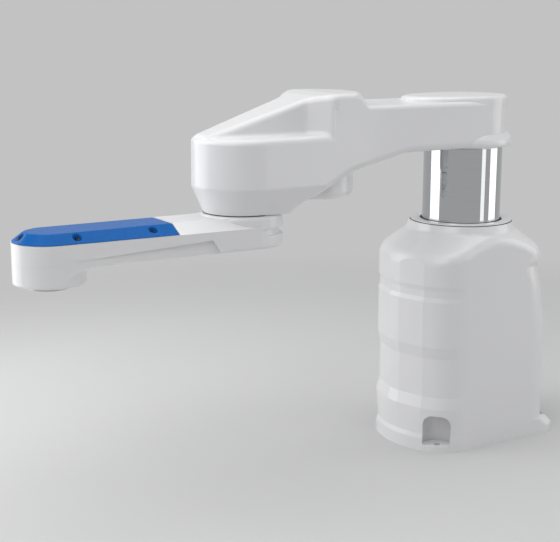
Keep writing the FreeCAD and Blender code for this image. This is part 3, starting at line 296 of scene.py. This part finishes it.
def cap_screw(name, radius, height, turn, place):
    """Screw head with a hexagon socket: made upright, then turned and set in its place."""
    bpy.ops.object.select_all(action="DESELECT")
    bpy.ops.mesh.primitive_cylinder_add(vertices=24, radius=radius, depth=height,
                                        location=(0, 0, height / 2))
    head = bpy.context.object
    head.name = name
    bpy.ops.object.transform_apply(location=True, rotation=True, scale=True)

    def on_top(centre, normal):
        return normal.z > 0.9 and centre.z > height * 0.9

    bpy.ops.object.mode_set(mode="EDIT")
    pick_faces(head, on_top)
    bpy.ops.mesh.bevel(offset=radius * 0.16, segments=3, affect="EDGES")
    pick_faces(head, on_top)
    bpy.ops.mesh.inset(thickness=radius * 0.32)
    bpy.ops.object.mode_set(mode="OBJECT")
    for corner in head.data.vertices:
        if corner.select:
            bearing = math.degrees(math.atan2(corner.co.y, corner.co.x)) % 60 - 30
            reach = radius * 0.44 / math.cos(math.radians(bearing))
            corner.co.xy = corner.co.xy.normalized() * reach
    bpy.ops.object.mode_set(mode="EDIT")
    bpy.ops.mesh.extrude_region_move(TRANSFORM_OT_translate={"value": (0, 0, -height * 0.6)})
    bpy.ops.object.mode_set(mode="OBJECT")
    bpy.ops.object.shade_smooth_by_angle(angle=math.radians(35))
    head.data.transform(Matrix.Translation(place) @ turn)
    return head


def copied(piece, name, shift):
    """The same piece again, with a mesh of its own, shifted."""
    twin = piece.copy()
    twin.data = piece.data.copy()
    twin.name = name
    twin.data.transform(Matrix.Translation(shift))
    bpy.context.scene.collection.objects.link(twin)
    return twin


face_back = Matrix.Rotation(math.radians(-90), 4, "Y")
plated = machined("screw_plating", (0.52, 0.52, 0.50), (0.68, 0.67, 0.64), 0.18, (1, 1, 1))
panel_x = -0.112
panel_screw_gap = 0.0001
panel_screw_low_z = 0.032
panel_screw_spread = 0.092
panel_screw_rise = 0.112
panel_screw = cap_screw("panel_screw_1", 0.0036, 0.0023, face_back,
                        (panel_x - panel_screw_gap, -panel_screw_spread / 2, panel_screw_low_z))
panel_screws = [panel_screw]
for number, shift in enumerate([(0, panel_screw_spread, 0), (0, 0, panel_screw_rise),
                                (0, panel_screw_spread, panel_screw_rise)]):
    panel_screws.append(copied(panel_screw, f"panel_screw_{number + 2}", shift))
for screw in panel_screws:
    settle(screw, plated, "base")
    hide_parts("rear_panel_screws")


# Sockets and air fittings: each barrel has a rolled thread beyond its flange, the sockets
# hold gold-plated pins in a black insert, and the fittings a black release ring.
def spun(name, outline, centre, axis=(0, 0, 1), steps=96):
    """Closed ring: the outline's corners (reach, height) are looped and spun round an axis."""
    bpy.ops.object.select_all(action="DESELECT")
    bpy.ops.mesh.primitive_circle_add(vertices=len(outline), radius=0.01)
    ring = bpy.context.object
    ring.name = name
    centre, axis = Vector(centre), Vector(axis)
    out = Vector((1, 0, 0)) if abs(axis.z) > 0.5 else Vector((0, 1, 0))
    for corner, (reach, height) in zip(ring.data.vertices, outline):
        corner.co = centre + out * reach + axis * height
    bpy.ops.object.mode_set(mode="EDIT")
    bpy.ops.mesh.select_all(action="SELECT")
    bpy.ops.mesh.spin(steps=steps, angle=math.tau, center=centre, axis=axis)
    bpy.ops.mesh.select_all(action="SELECT")
    bpy.ops.mesh.remove_doubles(threshold=0.000004)
    bpy.ops.mesh.normals_make_consistent(inside=False)
    bpy.ops.object.mode_set(mode="OBJECT")
    bpy.ops.object.shade_smooth_by_angle(angle=math.radians(35))
    return ring


def thread(name, root, crest, pitch, turns, centre, axis=(0, 0, 1), steps=48):
    """Thread on a barrel or in a hole: one ridge spun round the axis, repeated along it."""
    ridge = spun(name, [(root, 0.0), (crest, pitch * 0.45), (root, pitch * 0.9)],
                 centre, axis, steps)
    rows = ridge.modifiers.new("rows", "ARRAY")
    rows.use_relative_offset = False
    rows.use_constant_offset = True
    rows.constant_offset_displace = Vector(axis) * pitch
    rows.count = turns
    bpy.ops.object.modifier_apply(modifier="rows")
    return ridge


insert_plastic, insert_shader, insert_place = finish_of("socket_insert")
feed(insert_shader,
     Base_Color=insert_place.noise(60.0).tint((0.015, 0.015, 0.016), (0.03, 0.03, 0.032)),
     Roughness=insert_place.noise(250.0) * 0.15 + 0.4)
gold = machined("pin_gold", (0.72, 0.50, 0.18), (0.85, 0.62, 0.26), 0.2, (1, 1, 1))
outward = (-1, 0, 0)
socket_z = 0.118
socket_flange = 0.0028
for side, y in (("left", -0.020), ("right", 0.020)):
    hub = (panel_x, y, socket_z)
    barrel_thread = thread(f"socket_thread_{side}", 0.0118, 0.01255, 0.0014, 6,
                           (panel_x - socket_flange, y, socket_z), outward)
    settle(barrel_thread, plated, "base")
    disc = spun(f"socket_insert_{side}",
                [(0.0, 0.0086), (0.0098, 0.0086), (0.0098, 0.0096), (0.0090, 0.0100),
                 (0.0, 0.0100)], hub, outward, 48)
    settle(disc, insert_plastic, "base")
    pin = spun(f"socket_pin_{side}_1",
               [(0.0, 0.0099), (0.0007, 0.0099), (0.0007, 0.0113), (0.0004, 0.0117),
                (0.0, 0.0118)], hub, outward, 12)
    pins = [pin]
    for count, reach in ((5, 0.0032), (9, 0.0066)):
        for number in range(count):
            bearing = math.tau * number / count
            pins.append(copied(pin, f"socket_pin_{side}_{len(pins) + 1}",
                               (0, reach * math.cos(bearing), reach * math.sin(bearing))))
    for pin in pins:
        settle(pin, gold, "base")
fitting_z = 0.086
fitting_flange = 0.0030
for side, y in (("left", -0.009), ("right", 0.009)):
    hub = (panel_x, y, fitting_z)
    ring = spun(f"air_release_ring_{side}",
                [(0.0026, 0.0088), (0.0026, 0.0118), (0.0030, 0.0120), (0.0041, 0.0120),
                 (0.0044, 0.0116), (0.0044, 0.0108), (0.0038, 0.0104), (0.0025, 0.0092)],
                hub, outward, 40)
    settle(ring, insert_plastic, "base")
    barrel_thread = thread(f"air_thread_{side}", 0.0043, 0.0049, 0.0013, 4,
                           (panel_x - fitting_flange, y, fitting_z), outward, 32)
    settle(barrel_thread, plated, "base")

# Collar: painted ring that closes the housing round the column, with a raised rim on a
# thin black gasket that is partly painted shade, darkening the gap under the rim, and a
# rubber wiper that keeps dirt off the chrome.
collar_paint = white_paint("collar_paint", (0.78, 0.78, 0.79), (0.75, 0.75, 0.76))
dress(collar_paint, "column_collar")
rim = spun("collar_rim", [(0.0562, 0.3050), (0.0692, 0.3050), (0.0697, 0.3057), (0.0693, 0.3065),
                          (0.0684, 0.3069), (0.0570, 0.3069), (0.0562, 0.3063)], (0, 0, 0))
settle(rim, collar_paint, "base")

# Lift drive inside the base: ground steel rail, screw and bearings, a bronze guide
# bush, a black motor and toothed rubber belts.
steel = machined("ground_steel", (0.44, 0.45, 0.46), (0.58, 0.59, 0.60), 0.22, (1, 1, 8))
dress(steel, "lift_rail", "rail_carriage", "ball_nut", "ball_screw", "screw_bearing",
      "screw_pulley", "lift_motor_pulley", "elbow_motor_pulley", "elbow_input_pulley",
      "wrist_motor_pulley", "wrist_pulley", "wrist_bearings", "shoulder_reducer",
      "elbow_reducer", "elbow_output_hub")
bronze = machined("turned_bronze", (0.45, 0.31, 0.14), (0.62, 0.45, 0.22), 0.28, (1, 1, 20))
dress(bronze, "guide_bush")
anodised, anodised_shader, anodised_place = finish_of("black_anodised", Metallic=0.6)
feed(anodised_shader,
     Base_Color=anodised_place.noise(30.0).tint((0.025, 0.025, 0.028), (0.05, 0.05, 0.055)),
     Roughness=anodised_place.noise(200.0) * 0.15 + 0.35)
dress(anodised, "lift_motor", "shoulder_motor", "elbow_motor", "elbow_brake", "wrist_motor")
rubber, rubber_shader, rubber_place = finish_of("belt_rubber")
feed(rubber_shader,
     Base_Color=rubber_place.noise(80.0).tint((0.012, 0.012, 0.012), (0.035, 0.035, 0.035)),
     Roughness=rubber_place.noise(150.0) * 0.2 + 0.6)
dress(rubber, "lift_belt", "elbow_belt", "wrist_belt")

# Gasket and wiper of the collar: the same black rubber. The gasket lies under the raised
# rim and stands out a little past its edge as a painted shadow line. The wiper has its lip
# against the chrome.
gasket = spun("collar_shadow_gasket", [(0.0580, 0.3045), (0.0700, 0.3045), (0.0703, 0.3048),
                                (0.0700, 0.3052), (0.0580, 0.3052)], (0, 0, 0))
settle(gasket, rubber, "base")
wiper = spun("column_wiper", [(0.0547, 0.3044), (0.0560, 0.3044), (0.0560, 0.3058),
                              (0.0552, 0.3061), (0.0543, 0.3068), (0.0537, 0.3069),
                              (0.0537, 0.3062), (0.0543, 0.3055)], (0, 0, 0))
settle(wiper, rubber, "base")

# Column: hard-chromed steel tube, ground round and polished like a mirror.
chrome, chrome_shader, chrome_place = finish_of("mirror_chrome", Metallic=1.0)
lay = chrome_place.stretched((1.0, 1.0, 40.0)).noise(30.0, 3.0, 0.6)
feed(chrome_shader,
     Base_Color=lay.tint((0.53, 0.54, 0.55), (0.58, 0.59, 0.60)),
     Roughness=lay * 0.03 + 0.03,
     Normal=lay.bump(0.02, 0.0001))
dress(chrome, "lift_column")

# Upper arm: hollow aluminium casting with the same white paint, a round cover with four
# screws under the elbow motor and a thin rubber seal at the elbow.
arm_paint = white_paint("arm_paint", (0.81, 0.81, 0.82), (0.78, 0.78, 0.79))
dress(arm_paint, "upper_arm_casting", "boss_cover")
face_down = Matrix.Rotation(math.radians(180), 4, "X")
boss_x = 0.245
boss_screw_z = 0.3562
boss_screw_circle = 0.036
boss_screw_side = 2 * boss_screw_circle * math.sin(math.radians(45))
boss_screw = cap_screw("boss_screw_1", 0.0028, 0.0017, face_down,
                       (boss_x + boss_screw_side / 2, boss_screw_side / 2, boss_screw_z))
boss_screws = [boss_screw]
for number, shift in enumerate([(-boss_screw_side, 0, 0), (0, -boss_screw_side, 0),
                                (-boss_screw_side, -boss_screw_side, 0)]):
    boss_screws.append(copied(boss_screw, f"boss_screw_{number + 2}", shift))
for screw in boss_screws:
    settle(screw, plated, "upper_arm")
elbow_x = 0.350
seal = spun("elbow_seal", [(0.0466, 0.34362), (0.0478, 0.34362), (0.0481, 0.3440),
                           (0.0476, 0.3445), (0.0466, 0.3445)], (elbow_x, 0, 0))
settle(seal, rubber, "upper_arm")

# Foot of the shoulder: cast swelling round the column's head, upright at the arm's end
# and flattened towards the arm's two sides, where it runs out into the walls.
swelling = spun("shoulder_swelling",
                [(0.0560, 0.4084), (0.0622, 0.4084), (0.0642, 0.4092), (0.0653, 0.4110),
                 (0.0654, 0.4160), (0.0646, 0.4200), (0.0626, 0.4240), (0.0602, 0.4275),
                 (0.0584, 0.4310), (0.0572, 0.4350), (0.0560, 0.4370)], (0, 0, 0))
upright_to_z = 0.4155
flattened_from_z = 0.4275
side_flattening = 0.09
for corner in swelling.data.vertices:
    climb = (corner.co.z - upright_to_z) / (flattened_from_z - upright_to_z)
    corner.co.y *= 1 - side_flattening * min(max(climb, 0.0), 1.0)
settle(swelling, arm_paint, "upper_arm")

# Shoulder cap: cast lid over the shoulder drive, as wide as the arm's round end and drawn
# out over the deck, with a broad rounding all round and a slightly crowned top.
lid_radius = 0.0573
lid_low = 0.4650
lid_high = 0.4762
lid_tail_stretch = 1.75
bpy.ops.object.select_all(action="DESELECT")
bpy.ops.mesh.primitive_cylinder_add(vertices=128, radius=lid_radius, depth=lid_high - lid_low,
                                    location=(0, 0, (lid_low + lid_high) / 2))
lid = bpy.context.object
lid.name = "shoulder_lid"
bpy.ops.object.transform_apply(location=True, rotation=True, scale=True)
bpy.ops.object.mode_set(mode="EDIT")
pick_faces(lid, lambda centre, normal: normal.z > 0.9)
bpy.ops.mesh.bevel(offset=0.0052, segments=8, affect="EDGES")
for inset, rise in ((0.010, 0.0003), (0.012, 0.0002), (0.012, 0.0001)):
    pick_faces(lid, lambda centre, normal: normal.z > 0.9 and centre.xy.length < 0.002)
    bpy.ops.mesh.inset(thickness=inset)
    bpy.ops.transform.translate(value=(0, 0, rise))
bpy.ops.object.mode_set(mode="OBJECT")
for corner in lid.data.vertices:
    if corner.co.x > 0:
        corner.co.x *= lid_tail_stretch
bpy.ops.object.shade_smooth_by_angle(angle=math.radians(35))
settle(lid, arm_paint, "upper_arm")
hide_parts("shoulder_cap")

# Forearm: slimmer casting in the same paint, with a round cap under the elbow.
forearm_paint = white_paint("forearm_paint", (0.81, 0.81, 0.82), (0.78, 0.78, 0.79))
dress(forearm_paint, "forearm_casting", "forearm_cap")

# Cover: glossy blue plastic moulding over the wrist drive. Its skin is the solid's own,
# laid afresh and smoothed, because a moulding has no sharp edges.
blue, blue_shader, blue_place = finish_of("blue_plastic", Coat_Roughness=0.05, IOR=1.15)
feed(blue_shader,
     Base_Color=blue_place.noise(8.0, 2.0).tint((0.005, 0.100, 0.36), (0.009, 0.122, 0.42)),
     Roughness=blue_place.noise(120.0, 2.0) * 0.06 + 0.24,
     Coat_Weight=blue_place.noise(5.0, 1.0) * 0.04 + 0.02,
     Normal=blue_place.noise(90.0, 2.0).bump(0.02, 0.0001))
moulding = bpy.data.objects.new("cover_moulding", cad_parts["forearm_cover"].data.copy())
moulding.data.materials.clear()
bpy.context.scene.collection.objects.link(moulding)
bpy.ops.object.select_all(action="DESELECT")
bpy.context.view_layer.objects.active = moulding
moulding.select_set(True)
bpy.ops.object.mode_set(mode="EDIT")
bpy.ops.mesh.select_all(action="SELECT")
bpy.ops.mesh.remove_doubles(threshold=0.00001)
bpy.ops.object.mode_set(mode="OBJECT")
skin = moulding.modifiers.new("skin", "REMESH")
skin.mode = "VOXEL"
skin.voxel_size = 0.0009
bpy.ops.object.modifier_apply(modifier="skin")
soften = moulding.modifiers.new("soften", "SMOOTH")
soften.factor = 0.5
soften.iterations = 12
bpy.ops.object.modifier_apply(modifier="soften")
bpy.ops.object.shade_smooth()
settle(moulding, blue, "forearm")
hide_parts("forearm_cover")
black_oxide = machined("black_oxide", (0.07, 0.07, 0.075), (0.12, 0.12, 0.125), 0.3, (1, 1, 1))
dress(black_oxide, "forearm_cover_screws")

# Tool flange: turned steel with a pilot bore and four threaded holes.
flange_steel = machined("flange_steel", (0.46, 0.47, 0.48), (0.60, 0.61, 0.62), 0.24, (1, 1, 1))
dress(flange_steel, "tool_flange")
wrist_x = 0.600
bolt_circle_radius = 0.020
first_ridge_z = 0.27625
hole_offset = bolt_circle_radius * math.sin(math.radians(45))
hole_thread = thread("flange_thread_1", 0.00305, 0.0026, 0.001, 9,
                     (wrist_x + hole_offset, hole_offset, first_ridge_z), (0, 0, 1), 24)
threads = [hole_thread]
for number, shift in enumerate([(-2, 0, 0), (0, -2, 0), (-2, -2, 0)]):
    threads.append(copied(hole_thread, f"flange_thread_{number + 2}",
                          Vector(shift) * hole_offset))
for hole_thread in threads:
    settle(hole_thread, flange_steel, "tool")
